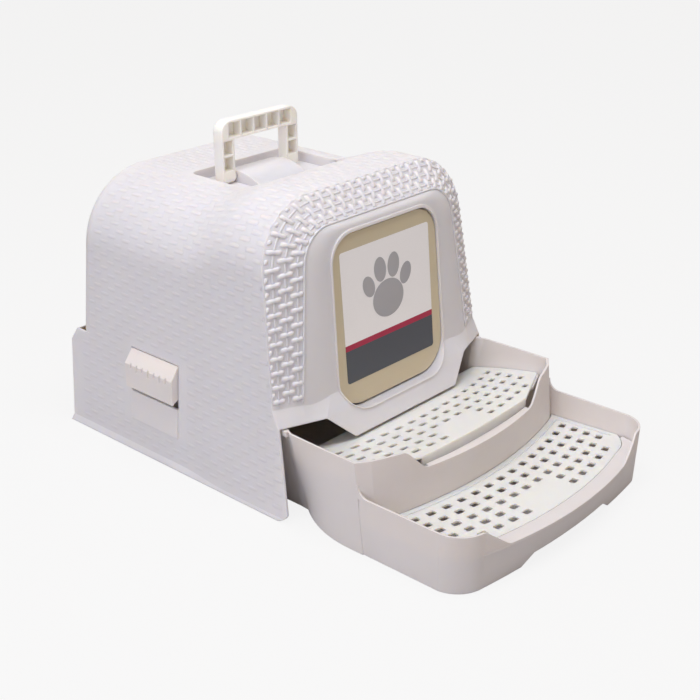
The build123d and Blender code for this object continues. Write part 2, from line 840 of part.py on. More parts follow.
def lower_grid_outline(level, inset=0.0):
    """Outline of the lower grid on its own plane."""
    gap = tray_wall + grid_gap + inset

    def at(x, y):
        return (x, along(y, lower_y, lower_fall))

    side = tray_half - step_draft * (1 - level) - gap
    share = lower_z / rim_z
    riser = riser_foot + (riser_rim - riser_foot) * share - grid_gap - inset
    riser_end = riser_end_foot + (riser_end_rim - riser_end_foot) * share - grid_gap - inset
    bend_y = lower_bend_y + inset
    corner_y = lower_corner_y + inset
    with BuildSketch(mode=Mode.PRIVATE) as outline:
        with BuildLine():
            ThreePointArc(at(-riser_end_half, riser_end), at(0, riser), at(riser_end_half, riser_end))
            ThreePointArc(at(-lower_bend, bend_y), at(0, lower_front + inset), at(lower_bend, bend_y))
            for turn in (1, -1):
                Polyline(
                    at(turn * riser_end_half, riser_end),
                    at(turn * side, riser_end + lower_rear_corner),
                    at(turn * side, lower_side_y),
                )
                ThreePointArc(
                    at(turn * side, lower_side_y),
                    at(turn * (side - lower_corner), corner_y),
                    at(turn * lower_bend, bend_y),
                )
        make_face()
    return outline.sketch


def riser_band(level, width):
    """Plan of a band from inside the riser's wall to so far behind the riser's front."""
    front = riser_foot + (riser_rim - riser_foot) * level
    half = lip_half - lip_round / 2
    outer = front + half**2 / (2 * riser_radius) + 1
    inner = front + width + half**2 / (2 * skirt_radius)
    with BuildSketch(mode=Mode.PRIVATE) as plan:
        with BuildLine():
            ThreePointArc((-half, outer), (0, front + 1), (half, outer))
            ThreePointArc((-half, inner), (0, front + width), (half, inner))
            for turn in (1, -1):
                Line((turn * half, outer), (turn * half, inner))
        make_face()
    return plan.sketch


def tray_ledge(level):
    """Strips along the tray's side walls under the upper grid."""
    with BuildSketch(mode=Mode.PRIVATE) as strips:
        add(upper_grid_outline(level, -grid_gap - 1.0))
        add(upper_grid_outline(level, ledge_width), mode=Mode.SUBTRACT)
        with Locations((0, along(-366.0, upper_y, upper_fall))):
            Rectangle(2 * tray_half, 60, mode=Mode.SUBTRACT)
        with Locations((0, along(upper_rear, upper_y, upper_fall))):
            Rectangle(2 * tray_half, 20, mode=Mode.SUBTRACT)
    return strips.sketch


def step_ledge(level):
    """Ring under the lower grid's edge."""
    with BuildSketch(mode=Mode.PRIVATE) as ring:
        add(lower_grid_outline(level, -grid_gap - 1.0))
        add(lower_grid_outline(level, ledge_width), mode=Mode.SUBTRACT)
    return ring.sketch


def front_ledge(level):
    """Broad lip between the lower step's front wall and its grid."""

    def at(x, y):
        return (x, along(y, lower_y, lower_fall))

    with BuildSketch(mode=Mode.PRIVATE) as lip:
        with BuildLine():
            ThreePointArc(at(-lip_end[0], lip_end[1]), at(0, lip_front), at(*lip_end))
            for turn in (1, -1):
                Polyline(
                    at(turn * lip_end[0], lip_end[1]),
                    at(turn * lip_corner[0], lip_corner[1]),
                    at(turn * lip_side[0], lip_side[1]),
                )
            Line(at(*lip_side), at(-lip_side[0], lip_side[1]))
        make_face()
        add(lower_grid_outline(level, -grid_gap), mode=Mode.SUBTRACT)
        with Locations(at(0, step_side_y + lip_trim / 2)):
            Rectangle(2 * tray_half, lip_trim, mode=Mode.SUBTRACT)
    return lip.sketch


upper_level = (upper_z - grid_thick) / rim_z
lower_level = (lower_z - grid_thick) / step_rim_z

with BuildPart() as step_block:
    with BuildSketch():
        add(step_outline(0))
    with BuildSketch(Plane.XY.offset(step_rim_z)):
        add(step_outline(1))
    loft(ruled=True)

with BuildPart() as notch_roof:
    with BuildSketch(Plane.XZ.offset(drawer_clear)):
        with BuildLine():
            Polyline(
                (-notch_half - tray_wall, 0),
                (-notch_top_half - tray_wall, notch_z + tray_wall),
                (notch_top_half + tray_wall, notch_z + tray_wall),
                (notch_half + tray_wall, 0),
                close=True,
            )
        make_face()
    extrude(amount=-(drawer_clear + notch_back + tray_wall))
    add(step_block.part, mode=Mode.INTERSECT)

with BuildPart() as drawer_tray:
    # lower step
    add(step_block.part)
    over = 1 + 1 / step_rim_z
    with BuildSketch(Plane.XY.offset(floor_thick)):
        add(step_outline(floor_thick / step_rim_z, tray_wall))
    with BuildSketch(Plane.XY.offset(step_rim_z * over)):
        add(step_outline(over, tray_wall))
    loft(ruled=True, mode=Mode.SUBTRACT)
    # litter tray and upper step
    with BuildSketch():
        add(tray_outline(0))
    with BuildSketch(Plane.XY.offset(rim_z)):
        add(tray_outline(1))
    loft(ruled=True)
    # rim inside the hood, under which the latches catch
    with BuildSketch(Plane.XY.offset(rim_z - rim_drop)) as rim_ring:
        with BuildLine():
            Polyline(
                (-rim_half, mouth_y + 6),
                (rim_half, mouth_y + 6),
                (rim_half, tray_rear + rim_half - narrow_half),
                (-rim_half, tray_rear + rim_half - narrow_half),
                close=True,
            )
        make_face()
        fillet(rim_ring.vertices().group_by(Axis.Y)[-1], tray_round + rim_half - narrow_half)
    extrude(amount=rim_drop)
    over = 1 + 1 / rim_z
    with BuildSketch(Plane.XY.offset(floor_thick)):
        add(tray_outline(floor_thick / rim_z, tray_wall))
    with BuildSketch(Plane.XY.offset(rim_z * over)):
        add(tray_outline(over, tray_wall))
    loft(ruled=True, mode=Mode.SUBTRACT)
    # wall between the litter and the steps; the upper grid's rear edge lies on it
    partition_back = partition_y + partition_thick
    partition_top = upper_z + upper_fall * (upper_y - partition_back) - along(grid_thick, 0, upper_fall)
    with BuildSketch(Plane.XZ.offset(-partition_y)):
        with BuildLine():
            top_half = narrow_foot_half + (narrow_half + 5 - narrow_foot_half) * partition_top / rim_z
            Polyline(
                (-narrow_foot_half, floor_thick / 2),
                (-top_half, partition_top),
                (top_half, partition_top),
                (narrow_foot_half, floor_thick / 2),
                close=True,
            )
        make_face()
    extrude(amount=-partition_thick)
    # ledges that carry the grids
    with BuildSketch(grid_plane(upper_y, upper_z, upper_fall, grid_thick)):
        add(tray_ledge(upper_level))
    extrude(amount=-ledge_thick)
    with BuildSketch(grid_plane(lower_y, lower_z, lower_fall, grid_thick)):
        add(step_ledge(lower_level))
    extrude(amount=-ledge_thick)
    with BuildSketch(grid_plane(lower_y, lower_z, lower_fall)):
        add(front_ledge(lower_level))
    extrude(amount=-grid_thick)
    # the riser's broad lip and the ledge behind it, under the upper grid's front edge
    with BuildSketch(Plane.XY.offset(lip_z)):
        add(riser_band(lip_z / rim_z, lip_width))
    extrude(amount=-tray_wall)
    with BuildSketch(Plane.XY.offset(lip_z - tray_wall)):
        add(riser_band(lip_z / rim_z, lip_width + 2 * ledge_width))
    extrude(amount=-ledge_thick)
    # the riser's top dips to the lip between two shoulders
    with BuildSketch(Plane.XZ.offset(riser_clear)) as dip:
        with BuildLine():
            Polyline(
                (-lip_shoulder_half - 2 * lip_round, rim_z + dip_over),
                (-lip_shoulder_half - 2 * lip_round, rim_z),
                (-lip_shoulder_half, rim_z),
                (-lip_half, lip_z),
                (lip_half, lip_z),
                (lip_shoulder_half, rim_z),
                (lip_shoulder_half + 2 * lip_round, rim_z),
                (lip_shoulder_half + 2 * lip_round, rim_z + dip_over),
                close=True,
            )
        make_face()
        fillet(
            dip.vertices().filter_by(lambda v: v.Y < rim_z + 1 and abs(v.X) < lip_shoulder_half + 1),
            lip_round,
        )
    extrude(amount=-riser_dip_depth, mode=Mode.SUBTRACT)
    # the lower step's front dips to its lip
    with BuildSketch(Plane.XZ.offset(drawer_clear)) as dip:
        with BuildLine():
            Polyline(
                (-step_shoulder_half - 2 * step_lip_round, step_rim_z + dip_over),
                (-step_shoulder_half - 2 * step_lip_round, step_rim_z),
                (-step_shoulder_half, step_rim_z),
                (-step_lip_half, step_lip_z),
                (step_lip_half, step_lip_z),
                (step_shoulder_half, step_rim_z),
                (step_shoulder_half + 2 * step_lip_round, step_rim_z),
                (step_shoulder_half + 2 * step_lip_round, step_rim_z + dip_over),
                close=True,
            )
        make_face()
        fillet(
            dip.vertices().filter_by(lambda v: v.Y < step_rim_z + 1 and abs(v.X) < step_shoulder_half + 1),
            step_lip_round,
        )
    extrude(amount=-step_dip_depth, mode=Mode.SUBTRACT)
    # fillets where the upper step's side walls fall to the lower step's rim
    fall_y = tray_corner_foot + (tray_corner_rim - tray_corner_foot) * step_rim_z / rim_z
    fillet_y = fall_y - rim_fillet
    bow = rim_fillet * (1 - sqrt(0.5))
    for turn in (1, -1):
        with BuildSketch(Plane.YZ.offset(turn * (tray_half - tray_wall))):
            with BuildLine():
                ThreePointArc(
                    (fillet_y, step_rim_z),
                    (fall_y - bow, step_rim_z + bow),
                    (fall_y, step_rim_z + rim_fillet),
                )
                Polyline(
                    (fall_y, step_rim_z + rim_fillet),
                    (fall_y + tray_wall, step_rim_z + rim_fillet),
                    (fall_y + tray_wall, step_rim_z - tray_wall),
                    (fillet_y, step_rim_z - tray_wall),
                    (fillet_y, step_rim_z),
                )
            make_face()
        extrude(amount=turn * tray_wall)
    # finger notch in the front foot, roofed over inside
    add(notch_roof.part)
    with BuildSketch(Plane.XZ.offset(drawer_clear)):
        with BuildLine():
            Polyline(
                (-notch_half, 0),
                (-notch_top_half, notch_z),
                (notch_top_half, notch_z),
                (notch_half, 0),
                close=True,
            )
        make_face()
    extrude(amount=-(drawer_clear + notch_back), mode=Mode.SUBTRACT)
drawer_tray.part.label = "drawer_tray"

# ---- step grids, which lift out of the drawer
with BuildPart() as upper_step_grid:
    with BuildSketch(grid_plane(upper_y, upper_z, upper_fall)):
        add(upper_grid_outline(upper_level, 0.0))
    extrude(amount=-grid_thick)
    # skirt down to the ledge behind the riser's lip
    skirt_foot = lip_z - tray_wall
    with BuildSketch(Plane.XY.offset(skirt_foot)):
        add(upper_skirt())
    extrude(amount=upper_z + upper_fall * (upper_y - upper_front) - grid_thick / 2 - skirt_foot)
    split(bisect_by=grid_plane(upper_y, upper_z, upper_fall), keep=Keep.BOTTOM)
    with BuildSketch(grid_plane(upper_y, upper_z, upper_fall)):
        add(slots(upper_y, upper_fall, upper_first_row, upper_row_pitch, upper_pitch, upper_slot))
    extrude(amount=-grid_thick - 1, mode=Mode.SUBTRACT)
upper_step_grid.part.label = "upper_step_grid"

with BuildPart() as lower_step_grid:
    with BuildSketch(grid_plane(lower_y, lower_z, lower_fall)):
        add(lower_grid_outline(lower_level))
    extrude(amount=-grid_thick)
    with BuildSketch(grid_plane(lower_y, lower_z, lower_fall)):
        add(slots(lower_y, lower_fall, lower_first_row, lower_row_pitch, lower_pitch, lower_slot))
    extrude(amount=-grid_thick, mode=Mode.SUBTRACT)
lower_step_grid.part.label = "lower_step_grid"

pieces = (hood_shell, door_flap, door_card, carry_handle, drawer_tray, upper_step_grid, lower_step_grid)
for piece in pieces:
    export_step(piece.part, "parts/" + piece.part.label + ".step")
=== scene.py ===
from math import atan, cos, pi, radians, sin, sqrt, tan

import bmesh
import bpy
from mathutils import Matrix, Vector
from mathutils.bvhtree import BVHTree


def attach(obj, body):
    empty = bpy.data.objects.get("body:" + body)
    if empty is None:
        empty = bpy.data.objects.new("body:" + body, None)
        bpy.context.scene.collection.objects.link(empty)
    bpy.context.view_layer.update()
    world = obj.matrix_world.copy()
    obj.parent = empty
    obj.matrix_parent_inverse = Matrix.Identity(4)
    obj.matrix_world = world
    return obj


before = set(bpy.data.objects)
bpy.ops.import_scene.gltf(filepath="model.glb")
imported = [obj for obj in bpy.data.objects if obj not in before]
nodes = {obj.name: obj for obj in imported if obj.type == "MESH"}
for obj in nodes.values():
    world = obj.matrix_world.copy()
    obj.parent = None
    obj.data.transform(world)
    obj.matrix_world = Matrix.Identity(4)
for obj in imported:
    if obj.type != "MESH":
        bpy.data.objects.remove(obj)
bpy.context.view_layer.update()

# ---- Camera
# Stands to the left of the door and looks down on the steps, as the photograph does.
turn, pitch, roll = radians(-47.72), radians(23.94), radians(-0.22)
back = Vector((sin(turn) * cos(pitch), -cos(turn) * cos(pitch), sin(pitch)))
right = Vector((cos(turn), sin(turn), 0.0))
up = back.cross(right)
level_right, level_up = right.copy(), up.copy()
right = level_right * cos(roll) + level_up * sin(roll)
up = level_up * cos(roll) - level_right * sin(roll)
camera_place = (-1.17873, -1.21189, 0.85053)
focal_share = 1286.18 / 700  # focal length as a share of the picture's width
sensor = 36.0
camera = bpy.data.objects.new("camera", bpy.data.cameras.new("camera"))
camera.data.sensor_width = sensor
camera.data.lens = focal_share * sensor
camera_turn = Matrix((right, up, back)).transposed().to_4x4()
camera.matrix_world = Matrix.Translation(camera_place) @ camera_turn
bpy.context.scene.collection.objects.link(camera)
bpy.context.scene.camera = camera
bpy.context.scene.view_settings.view_transform = "Standard"


# ---- Studio
# A pale floor and backdrop, a broad lamp over the steps, a weaker one at the left and warm
# fill all round.
def hue(red, green, blue):
    """Colour from its everyday 0 to 255 values."""
    shares = [v / 255 for v in (red, green, blue)]
    return [s / 12.92 if s <= 0.04045 else ((s + 0.055) / 1.055) ** 2.4 for s in shares] + [1.0]


def lamp(name, place, target, size, power, colour):
    light = bpy.data.lights.new(name, "AREA")
    light.shape = "RECTANGLE"
    light.size, light.size_y = size
    light.energy = power
    light.color = hue(*colour)[:3]
    holder = bpy.data.objects.new(name, light)
    holder.location = place
    holder.rotation_euler = (Vector(target) - Vector(place)).to_track_quat("-Z", "Y").to_euler()
    bpy.context.scene.collection.objects.link(holder)


lamp("lamp_top", (-0.25, -0.45, 2.4), (-0.2, -0.4, 0.1), (1.6, 0.7), 33.5, (250, 251, 253))
lamp("lamp_left", (-2.6, -0.4, 1.2), (0.0, 0.0, 0.2), (2.0, 1.6), 27.0, (240, 244, 255))

world = bpy.data.worlds.new("studio")
bpy.context.scene.world = world
world.use_nodes = True
sky = world.node_tree
sky.nodes.clear()
seen = sky.nodes.new("ShaderNodeLightPath")
counted = sky.nodes.new("ShaderNodeMath")
counted.operation = "MAXIMUM"
sky.links.new(seen.outputs["Is Camera Ray"], counted.inputs[0])
glossy = sky.nodes.new("ShaderNodeMath")
glossy.operation = "MAXIMUM"
sky.links.new(seen.outputs["Is Glossy Ray"], glossy.inputs[0])
sky.links.new(seen.outputs["Is Transmission Ray"], glossy.inputs[1])
sky.links.new(glossy.outputs[0], counted.inputs[1])
fill = sky.nodes.new("ShaderNodeBackground")
fill.inputs["Color"].default_value = (1.0, 0.86, 0.78, 1.0)
fill.inputs["Strength"].default_value = 0.47
white = sky.nodes.new("ShaderNodeBackground")
white.inputs["Color"].default_value = (1.0, 1.0, 1.0, 1.0)
white.inputs["Strength"].default_value = 1.0
either = sky.nodes.new("ShaderNodeMixShader")
sky.links.new(counted.outputs[0], either.inputs[0])
sky.links.new(fill.outputs[0], either.inputs[1])
sky.links.new(white.outputs[0], either.inputs[2])
sky.links.new(either.outputs[0], sky.nodes.new("ShaderNodeOutputWorld").inputs[0])

floor_mesh = bmesh.new()
bmesh.ops.create_grid(floor_mesh, x_segments=1, y_segments=1, size=6.0)
floor = bpy.data.objects.new("floor", bpy.data.meshes.new("floor"))
floor_mesh.to_mesh(floor.data)
floor_mesh.free()
floor.location.z = -0.0005
bpy.context.scene.collection.objects.link(floor)
floor_paint = bpy.data.materials.new("floor_paint")
floor_paint.use_nodes = True
paint = floor_paint.node_tree
paint.nodes.clear()
matt = paint.nodes.new("ShaderNodeBsdfDiffuse")
matt.inputs["Color"].default_value = (0.5, 0.5, 0.5, 1.0)
glow = paint.nodes.new("ShaderNodeEmission")
glow.inputs["Color"].default_value = (1.0, 1.0, 1.0, 1.0)
glow.inputs["Strength"].default_value = 1.0
seen = paint.nodes.new("ShaderNodeLightPath")
share = paint.nodes.new("ShaderNodeMath")
share.operation = "MULTIPLY"
share.inputs[1].default_value = 0.86
paint.links.new(seen.outputs["Is Camera Ray"], share.inputs[0])
either = paint.nodes.new("ShaderNodeMixShader")
paint.links.new(share.outputs[0], either.inputs[0])
paint.links.new(matt.outputs[0], either.inputs[1])
paint.links.new(glow.outputs[0], either.inputs[2])
paint.links.new(either.outputs[0], paint.nodes.new("ShaderNodeOutputMaterial").inputs[0])
floor.data.materials.append(floor_paint)


# ---- Hood
# One moulding of white polypropylene with a fine spark-eroded skin; its soft edges come
# from the mould. It stands on the floor over the drawer. The door, the handle and the
# latches hang in it on stub pins, and the drawer slides out from under it.
def moulded(name, colour, tint, roughness, grain, edge=0.0008, sheen=0.0, through=0.5):
    """Moulded plastic, slightly mottled, with soft edges; through is the share of its light
    that scatters inside it."""
    material = bpy.data.materials.new(name)
    material.use_nodes = True
    tree = material.node_tree
    shader = tree.nodes["Principled BSDF"]
    where = tree.nodes.new("ShaderNodeTexCoord")

    def cloud(scale, detail):
        noise = tree.nodes.new("ShaderNodeTexNoise")
        noise.inputs["Scale"].default_value = scale
        noise.inputs["Detail"].default_value = detail
        tree.links.new(where.outputs["Object"], noise.inputs["Vector"])
        return noise.outputs["Fac"]

    def spread(source, low, high, out_low, out_high):
        ramp = tree.nodes.new("ShaderNodeMapRange")
        limits = {"From Min": low, "From Max": high, "To Min": out_low, "To Max": out_high}
        for socket, value in limits.items():
            ramp.inputs[socket].default_value = value
        tree.links.new(source, ramp.inputs["Value"])
        return ramp.outputs["Result"]

    mix = tree.nodes.new("ShaderNodeMix")
    mix.data_type = "RGBA"
    mix.inputs["A"].default_value = hue(*colour)
    mix.inputs["B"].default_value = hue(*tint)
    tree.links.new(spread(cloud(9.0, 3.0), 0.35, 0.65, 0.0, 1.0), mix.inputs["Factor"])
    tree.links.new(mix.outputs["Result"], shader.inputs["Base Color"])
    gloss = spread(cloud(60.0, 2.0), 0.3, 0.7, roughness - 0.05, roughness + 0.05)
    tree.links.new(gloss, shader.inputs["Roughness"])
    soft = tree.nodes.new("ShaderNodeBevel")
    soft.samples = 4
    soft.inputs["Radius"].default_value = edge
    bump = tree.nodes.new("ShaderNodeBump")
    bump.inputs["Strength"].default_value = grain
    bump.inputs["Distance"].default_value = 0.0002
    tree.links.new(cloud(1400.0, 1.0), bump.inputs["Height"])
    tree.links.new(soft.outputs[0], bump.inputs["Normal"])
    tree.links.new(bump.outputs[0], shader.inputs["Normal"])
    shader.inputs["IOR"].default_value = 1.49
    shader.inputs["Subsurface Weight"].default_value = through
    shader.inputs["Subsurface Radius"].default_value = (1.0, 0.72, 0.42)
    shader.inputs["Subsurface Scale"].default_value = 0.012
    if sheen:
        shader.inputs["Coat Weight"].default_value = sheen
        shader.inputs["Coat Roughness"].default_value = 0.2
    return material


def dress(name, material):
    """Gives a CAD node its material."""
    for holder in nodes[name].material_slots:
        holder.material = material


hood_white = moulded("hood_white", (231, 226, 227), (228, 223, 224), 0.42, 0.25, edge=0.0016)
dress("hood_shell", hood_white)


# ---- Woven band round the door
# Broad strands moulded over three spokes on the hood's bevel. The relief is a few
# millimetres deep, so the gaps between the strands look dark.
shell = bmesh.new()
shell.from_mesh(nodes["hood_shell"].data)
shell_surface = BVHTree.FromBMesh(shell)
shell.free()
collar_y, collar_lean = -0.2139, radians(7.65)
panel_y, panel_lean = -0.2287, radians(4.8)


def walk(arch, length):
    """Place and outward direction on an arch, so far along it from the middle of its top."""
    half, top, corner, lean = arch
    bend = pi / 2 - atan(lean)
    flat = half - lean * top - corner * tan(bend / 2)
    side = 1.0 if length >= 0 else -1.0
    run = abs(length)
    if run <= flat:
        return Vector((side * run, top)), Vector((0.0, 1.0))
    angle = min((run - flat) / corner, bend)
    out = Vector((sin(angle), cos(angle)))
    spot = Vector((flat, top - corner)) + corner * out
    beyond = run - flat - corner * bend
    if beyond > 0:
        spot += beyond * Vector((lean, -1.0)).normalized()
    return Vector((side * spot.x, spot.y)), Vector((side * out.x, out.y))


def sections(arch, foot):
    """Lengths of an arch's half top, corner and side."""
    half, top, corner, lean = arch
    bend = pi / 2 - atan(lean)
    flat = half - lean * top - corner * tan(bend / 2)
    fall = (top - corner * tan(bend / 2) * cos(atan(lean)) - foot) / cos(atan(lean))
    return flat, corner * bend, fall


def place_along(arch, foot, length):
    """Share of the way along the arch: 0 to 1 on the top, to 2 in the corner, to 3 down the side."""
    run, done = abs(length), 0.0
    for part in sections(arch, foot):
        if run <= part:
            break
        run -= part
        done += 1.0
    else:
        return None
    return (done + run / part) * (1 if length >= 0 else -1)


def length_at(arch, foot, place):
    """The length along an arch for such a share."""
    parts, whole = sections(arch, foot), int(min(abs(place), 2.999))
    run = sum(parts[:whole]) + (abs(place) - whole) * parts[whole]
    return run if place >= 0 else -run


def on_shell(spot, outward, reach=0.012):
    """Point of the hood's skin within reach of a spot, or None."""
    return shell_surface.ray_cast(spot + outward * reach, -outward, 2 * reach)[0]


# An arch is its half width at the floor, its top, its corner's radius and its sides' lean.
band_outer = (0.212, 0.391 / cos(collar_lean), 0.088, 0.070)
band_inner = (0.1817, 0.357 / cos(panel_lean), 0.045, 0.124)
band_foot = 0.1475
crease_setback = 0.0059
bevel_edges = (
    (band_outer, collar_y, collar_lean),
    (band_inner, panel_y + crease_setback, panel_lean),
)


def band_spot(share, place, aside):
    """Point on the bevel, from its outer edge (0) to the crease (1), so far aside along it."""
    ends = []
    for arch, edge_y, lean in bevel_edges:
        spot = walk(arch, length_at(arch, band_foot / cos(lean), place) + aside)[0]
        ends.append(Vector((spot.x, edge_y + spot.y * sin(lean), spot.y * cos(lean))))
    return ends[0].lerp(ends[1], share)


def band_point(share, place, aside, height):
    """Point raised from the band's surface."""
    step = 0.0005
    spot = band_spot(share, place, aside)
    across = band_spot(share + 0.01, place, aside) - band_spot(share - 0.01, place, aside)
    length = band_spot(share, place, aside + step) - band_spot(share, place, aside - step)
    outward = across.cross(length).normalized()
    skin = on_shell(spot, outward)
    if skin is None:
        skin = spot
    return skin + outward * height


def patch(mesh, cells, place):
    """Adds a small grid to a mesh, each point where place(u, v) says, with u and v from -1 to
    1. Where place gives None for a point, the whole grid is left out."""
    made = bmesh.ops.create_grid(mesh, x_segments=cells[0], y_segments=cells[1], size=1.0)["verts"]
    spots = [place(vert.co.x, vert.co.y) for vert in made]
    if None in spots:
        bmesh.ops.delete(mesh, geom=made, context="VERTS")
        return
    for vert, spot in zip(made, spots):
        vert.co = spot


def crest(u, v, height, sink):
    """Height of a strand's pillow over its ends and sides."""
    return height * (1 - abs(u) ** 3) ** 0.6 * sqrt(max(0.0, 1 - v * v)) - sink


def finished(name, mesh, material, body, outward=False):
    """Turns a bmesh into a piece that rides on a body."""
    if outward:
        bmesh.ops.recalc_face_normals(mesh, faces=mesh.faces)
    for face in mesh.faces:
        face.smooth = True
    piece = bpy.data.objects.new(name, bpy.data.meshes.new(name))
    mesh.to_mesh(piece.data)
    mesh.free()
    piece.data.materials.append(material)
    bpy.context.scene.collection.objects.link(piece)
    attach(piece, body)
    return piece


band_middle = [(a + b) / 2 for a, b in zip(band_outer, band_inner)]
band_length = sum(sections(band_middle, band_foot))
row_pitch = 0.00925
columns = (-0.06, 0.24, 0.54, 0.84)  # places of the spokes across the band
strand_half, strand_width, strand_height = 0.205, 0.0070, 0.0031
strand_sink, strand_hidden = 0.0003, -0.0005  # how deep a strand's rim and its cut ends lie
band_start, band_end = 0.03, 0.975
spoke_height, spoke_sink = 0.0014, 0.0002
band = bmesh.new()
rows = int(band_length / row_pitch)
for row in range(-rows, rows + 1):
    place = place_along(band_middle, band_foot, row * row_pitch)
    if place is None or abs(row * row_pitch) > band_length - strand_width / 2:
        continue
    for index, column in enumerate(columns):
        if (row + index) % 2:
            continue

        def strand(u, v):
            share = column + u * strand_half
            over = min(max(share, band_start), band_end)
            height = crest(u, v, strand_height, strand_sink) if over == share else strand_hidden
            return band_point(over, place, v * strand_width / 2, height)

        patch(band, (10, 6), strand)
spoke_share = 0.036  # half a spoke's width, as a share of the band's
for column in columns[1:]:

    def spoke(u, v):
        height = spoke_height * sqrt(max(0.0, 1 - v * v)) - spoke_sink
        return band_point(column + v * spoke_share, -2.99 * u, 0.0, height)

    patch(band, (240, 4), spoke)
finished("woven_band", band, hood_white, "hood")


# ---- Bead along the crease
# A round moulded bead that closes the woven band against the smooth front panel.
def by_vertices(part):
    """Number that sorts faces or edges by the three lowest of their vertices."""
    lowest = sorted(vert.index for vert in part.verts)[:3]
    return float(sum(index * 4096 ** (2 - place) for place, index in enumerate(lowest)))


def swept(points, radius, sides=10):
    """Tube along points, closed at both ends."""
    mesh = bmesh.new()
    ring = None
    for index, point in enumerate(points):
        ahead = points[min(index + 1, len(points) - 1)] - points[max(index - 1, 0)]
        turned = ahead.to_track_quat("Z", "Y").to_matrix().to_4x4()
        here = Matrix.Translation(point) @ turned
        if ring is None:
            size = {"segments": sides, "radius": radius}
            ring = bmesh.ops.create_circle(mesh, cap_ends=True, matrix=here, **size)["verts"]
        else:
            edges = [e for e in mesh.edges if all(v in ring for v in e.verts)]
            made = bmesh.ops.extrude_edge_only(mesh, edges=edges)["geom"]
            ring = [g for g in made if isinstance(g, bmesh.types.BMVert)]
            bmesh.ops.transform(mesh, matrix=here @ before.inverted(), verts=ring)
        before = here
    bmesh.ops.contextual_create(mesh, geom=[e for e in mesh.edges if all(v in ring for v in e.verts)])
    # The extrusions leave faces and edges in an order that changes from run to run.
    mesh.verts.index_update()
    mesh.faces.sort(key=by_vertices)
    mesh.edges.sort(key=by_vertices)
    return mesh


bead_points = []
bead_steps, bead_radius, bead_share, bead_rise = 150, 0.0016, 0.997, 0.0003
for step in range(bead_steps + 1):
    place = -2.999 + 5.998 * step / bead_steps
    bead_points.append(band_point(bead_share, place, 0.0, bead_rise))
finished("crease_bead", swept(bead_points, bead_radius), hood_white, "hood", outward=True)

# ---- Fine weave
# The same weave in the hood's own skin, under a millimetre high on the top and a quarter
# of one on the sides. It stops at the latch windows, the plain panels and the well.
body_arch = (0.2105, 0.370, 0.105, 0.070)
weave_foot = 0.016
spoke_pitch, fine_width, fine_half = 0.0148, 0.0074, 0.0108
side_height, top_height, fine_sink = 0.0005, 0.0012, 0.00025
first_spoke, spoke_count, last_spoke_y = -0.2072, 28, 0.187
fine_reach, overhang = 0.026, 0.003  # skin farther in than the overhang is left bare
cheek_y, cheek_rake = -0.2279, 0.183  # the side walls' front edges below the bevel
weave = bmesh.new()


def hood_point(length, y, height):
    """Point raised from the hood's sides or top."""
    flat_spot, out = walk(body_arch, length)
    outward = Vector((out.x, 0.0, out.y))
    spot = Vector((flat_spot.x, y, flat_spot.y))
    skin = on_shell(spot, outward, fine_reach)
    if skin is None or (skin - spot).dot(outward) < -overhang:
        return None
    return skin + outward * height


# Bare places: past or within a distance from the middle, then heights, then front to rear.
side_from, side_heights, side_span = 0.15, (0.043, 0.154), (-0.0215, 0.0805)
well_half, well_above, well_span = 0.092, 0.36, (-0.064, 0.072)


def plain(length, y):
    """Whether a place on the hood has no weave: a latch with its panel, or the well."""
    spot = walk(body_arch, length)[0]
    by_latch = abs(spot.x) > side_from and side_heights[0] < spot.y < side_heights[1]
    by_well = abs(spot.x) < well_half and spot.y > well_above
    in_latch = by_latch and side_span[0] < y < side_span[1]
    return in_latch or (by_well and well_span[0] < y < well_span[1])


brow_z, collar_margin, cheek_margin = 0.122, 0.002, 0.003


def weave_front(length):
    """Where the weave starts behind the hood's front edge."""
    z = walk(body_arch, length)[0].y
    if z > brow_z:
        return collar_y + collar_margin + z * tan(collar_lean)
    return cheek_y + cheek_margin + cheek_rake * z


rows = int(sum(sections(body_arch, weave_foot)) / row_pitch)
spokes = [first_spoke + spoke_pitch * index for index in range(spoke_count)]
for row in range(-rows, rows + 1):
    for index, spoke_y in enumerate(spokes):
        if (row + index) % 2:
            continue
        length = row * row_pitch
        start = weave_front(length)
        if spoke_y + 0.5 * fine_half < start or spoke_y > last_spoke_y:
            continue

        def fine_strand(u, v):
            y = max(spoke_y - u * fine_half, start)
            along = length + v * fine_width / 2
            if plain(along, y):
                return None
            steepness = abs(walk(body_arch, length)[1].x)
            height = top_height + (side_height - top_height) * steepness
            return hood_point(along, y, crest(u, v, height, fine_sink))

        patch(weave, (6, 4), fine_strand)
finished("hood_weave", weave, hood_white, "hood")

# ---- Rear weave
# The rear wall's skin carries the weave too, its strands running from side to side. Its
# rounded edges stay smooth.
rear_rows, rear_spokes, rear_margin = 40, 12, 0.004
behind, rear_depth, wall_y = 0.25, 0.062, 0.183
rear = bmesh.new()
for row in range(rear_rows):
    z = weave_foot + rear_margin + row * row_pitch
    for index in range(-rear_spokes, rear_spokes + 1):
        if (row + index) % 2:
            continue

        def rear_strand(u, v):
            x = index * spoke_pitch - u * fine_half
            height = z + v * fine_width / 2
            if walk(body_arch, 0)[0].y - 0.02 < height:
                return None
            start, ahead = Vector((x, behind, height)), Vector((0.0, -1.0, 0.0))
            found = shell_surface.ray_cast(start, ahead, rear_depth)[0]
            if found is None or found.y < wall_y:
                return None
            return found + Vector((0.0, crest(u, v, side_height, fine_sink), 0.0))

        patch(rear, (6, 4), rear_strand)
finished("rear_weave", rear, hood_white, "hood")

# ---- Door
# A beige swing flap of smooth polystyrene. It hangs in the doorway on a stub pin at each
# top corner, and a printed card lies on its face.
door_beige = moulded("door_beige", (212, 198, 170), (210, 196, 168), 0.34, 0.06, sheen=0.15)
dress("door_flap", door_beige)


stripe_top, band_top = 0.1965, 0.189


